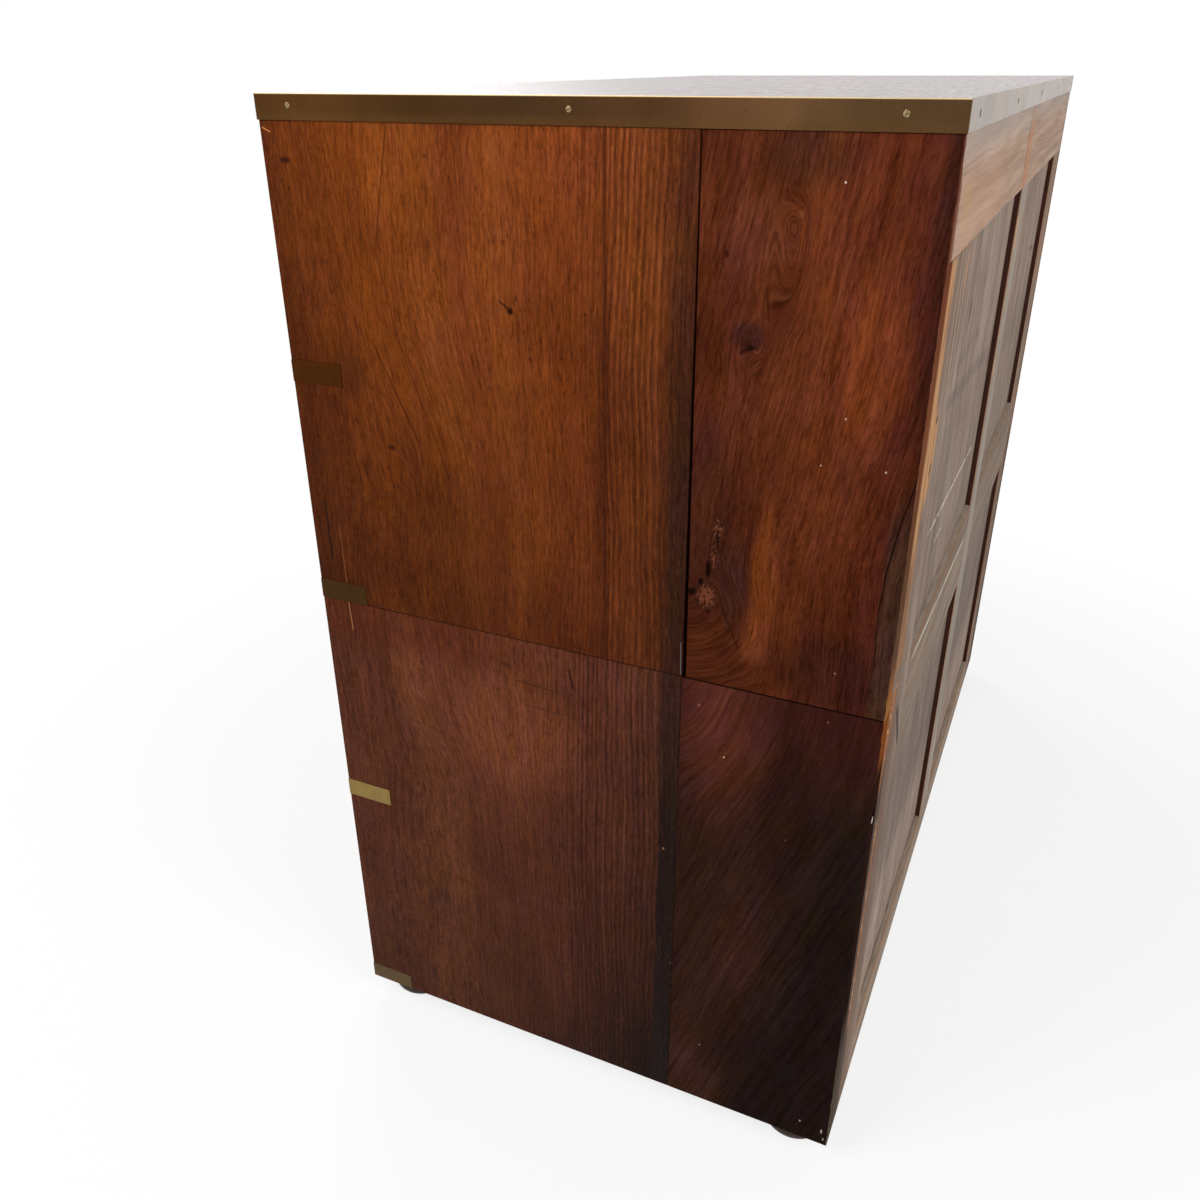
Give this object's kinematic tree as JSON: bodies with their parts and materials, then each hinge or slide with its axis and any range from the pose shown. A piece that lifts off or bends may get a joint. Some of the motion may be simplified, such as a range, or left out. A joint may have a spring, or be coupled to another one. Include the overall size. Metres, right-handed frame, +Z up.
{
  "type": "campaign chest",
  "caption": "Brass-bound campaign chest in two stacking cases, with long and short drawers, flush bail handles, a panelled back and squat turned feet.",
  "frame": {"origin": "on the floor, under the middle of the chest", "axes": "+Z up, +X to the right of someone facing the front, the drawers open towards -Y, the panelled back faces +Y"},
  "size_m": [1.042, 0.532, 0.947],
  "materials": {
    "side_wood": "old polished mahogany, worn",
    "top_wood": "old polished mahogany, glossy",
    "drawer_front_wood": "old polished mahogany",
    "drawer_lining_wood": "plain cedar, unpolished",
    "inner_wood": "unpolished hardwood",
    "back_wood": "weathered, unpolished",
    "foot_wood": "dark turned hardwood",
    "edge_brass": "dull, tarnished",
    "strap_brass": "dark, tarnished",
    "handle_brass": "aged brass"
  },
  "bodies": {
    "lower_case": {"lower_right_side_front_board": "side_wood", "lower_right_side_rear_board": "side_wood", "lower_left_side_front_board": "side_wood", "lower_left_side_rear_board": "side_wood", "lower_floor": "inner_wood", "lower_drawer_rail": "inner_wood", "lower_top_board": "inner_wood", "lower_runners": "inner_wood", "lower_back_panels": "back_wood", "lower_back_rails": "back_wood", "lower_back_uprights": "back_wood", "lower_drawer_stops": "inner_wood", "lower_corner_straps": "strap_brass", "feet": "foot_wood", "locating_pegs": "inner_wood"},
    "upper_case": {"upper_right_side_front_board": "side_wood", "upper_right_side_rear_board": "side_wood", "upper_left_side_front_board": "side_wood", "upper_left_side_rear_board": "side_wood", "upper_floor": "inner_wood", "upper_drawer_rail": "inner_wood", "drawer_divider": "inner_wood", "upper_runners": "inner_wood", "top_board": "top_wood", "side_edge_strips": "edge_brass", "rear_edge_strip": "edge_brass", "front_edge_strip": "edge_brass", "upper_back_panels": "back_wood", "upper_back_rail": "back_wood", "upper_back_uprights": "back_wood", "upper_drawer_stops": "inner_wood", "upper_corner_straps": "strap_brass"},
    "top_left_drawer": {"top_left_drawer_front": "drawer_front_wood", "top_left_drawer_box": "drawer_lining_wood", "top_left_drawer_bottom": "drawer_lining_wood", "top_left_drawer_brasses": "handle_brass"},
    "top_right_drawer": {"top_right_drawer_front": "drawer_front_wood", "top_right_drawer_box": "drawer_lining_wood", "top_right_drawer_bottom": "drawer_lining_wood", "top_right_drawer_brasses": "handle_brass"},
    "upper_drawer": {"upper_drawer_front": "drawer_front_wood", "upper_drawer_box": "drawer_lining_wood", "upper_drawer_bottom": "drawer_lining_wood", "upper_drawer_brasses": "handle_brass"},
    "middle_drawer": {"middle_drawer_front": "drawer_front_wood", "middle_drawer_box": "drawer_lining_wood", "middle_drawer_bottom": "drawer_lining_wood", "middle_drawer_brasses": "handle_brass"},
    "bottom_drawer": {"bottom_drawer_front": "drawer_front_wood", "bottom_drawer_box": "drawer_lining_wood", "bottom_drawer_bottom": "drawer_lining_wood", "bottom_drawer_brasses": "handle_brass"},
    "top_left_drawer_bail": {"top_left_drawer_bail": "handle_brass"},
    "top_right_drawer_bail": {"top_right_drawer_bail": "handle_brass"},
    "upper_drawer_left_bail": {"upper_drawer_left_bail": "handle_brass"},
    "upper_drawer_right_bail": {"upper_drawer_right_bail": "handle_brass"},
    "middle_drawer_left_bail": {"middle_drawer_left_bail": "handle_brass"},
    "middle_drawer_right_bail": {"middle_drawer_right_bail": "handle_brass"},
    "bottom_drawer_left_bail": {"bottom_drawer_left_bail": "handle_brass"},
    "bottom_drawer_right_bail": {"bottom_drawer_right_bail": "handle_brass"}
  },
  "joints": [
    {"name": "upper_case_lift", "type": "slide", "parent": "lower_case", "child": "upper_case", "axis": [0, 0, 1], "range_m": [0, 0.25]},
    {"name": "top_left_drawer_slide", "type": "slide", "parent": "upper_case", "child": "top_left_drawer", "axis": [0, -1, 0], "range_m": [0, 0.4]},
    {"name": "top_right_drawer_slide", "type": "slide", "parent": "upper_case", "child": "top_right_drawer", "axis": [0, -1, 0], "range_m": [0, 0.4]},
    {"name": "upper_drawer_slide", "type": "slide", "parent": "upper_case", "child": "upper_drawer", "axis": [0, -1, 0], "range_m": [0, 0.4]},
    {"name": "middle_drawer_slide", "type": "slide", "parent": "lower_case", "child": "middle_drawer", "axis": [0, -1, 0], "range_m": [0, 0.4]},
    {"name": "bottom_drawer_slide", "type": "slide", "parent": "lower_case", "child": "bottom_drawer", "axis": [0, -1, 0], "range_m": [0, 0.4]},
    {"name": "top_left_drawer_bail_hinge", "type": "hinge", "parent": "top_left_drawer", "child": "top_left_drawer_bail", "pos_m": [-0.255, -0.2621, 0.8467], "axis": [-1, 0, 0], "range_deg": [0, 90]},
    {"name": "top_right_drawer_bail_hinge", "type": "hinge", "parent": "top_right_drawer", "child": "top_right_drawer_bail", "pos_m": [0.255, -0.2621, 0.8467], "axis": [-1, 0, 0], "range_deg": [0, 90]},
    {"name": "upper_drawer_left_bail_hinge", "type": "hinge", "parent": "upper_drawer", "child": "upper_drawer_left_bail", "pos_m": [-0.275, -0.2621, 0.6397], "axis": [-1, 0, 0], "range_deg": [0, 90]},
    {"name": "upper_drawer_right_bail_hinge", "type": "hinge", "parent": "upper_drawer", "child": "upper_drawer_right_bail", "pos_m": [0.275, -0.2621, 0.6397], "axis": [-1, 0, 0], "range_deg": [0, 90]},
    {"name": "middle_drawer_left_bail_hinge", "type": "hinge", "parent": "middle_drawer", "child": "middle_drawer_left_bail", "pos_m": [-0.275, -0.2621, 0.4102], "axis": [-1, 0, 0], "range_deg": [0, 90]},
    {"name": "middle_drawer_right_bail_hinge", "type": "hinge", "parent": "middle_drawer", "child": "middle_drawer_right_bail", "pos_m": [0.275, -0.2621, 0.4102], "axis": [-1, 0, 0], "range_deg": [0, 90]},
    {"name": "bottom_drawer_left_bail_hinge", "type": "hinge", "parent": "bottom_drawer", "child": "bottom_drawer_left_bail", "pos_m": [-0.275, -0.2621, 0.1737], "axis": [-1, 0, 0], "range_deg": [0, 90]},
    {"name": "bottom_drawer_right_bail_hinge", "type": "hinge", "parent": "bottom_drawer", "child": "bottom_drawer_right_bail", "pos_m": [0.275, -0.2621, 0.1737], "axis": [-1, 0, 0], "range_deg": [0, 90]}
  ]
}
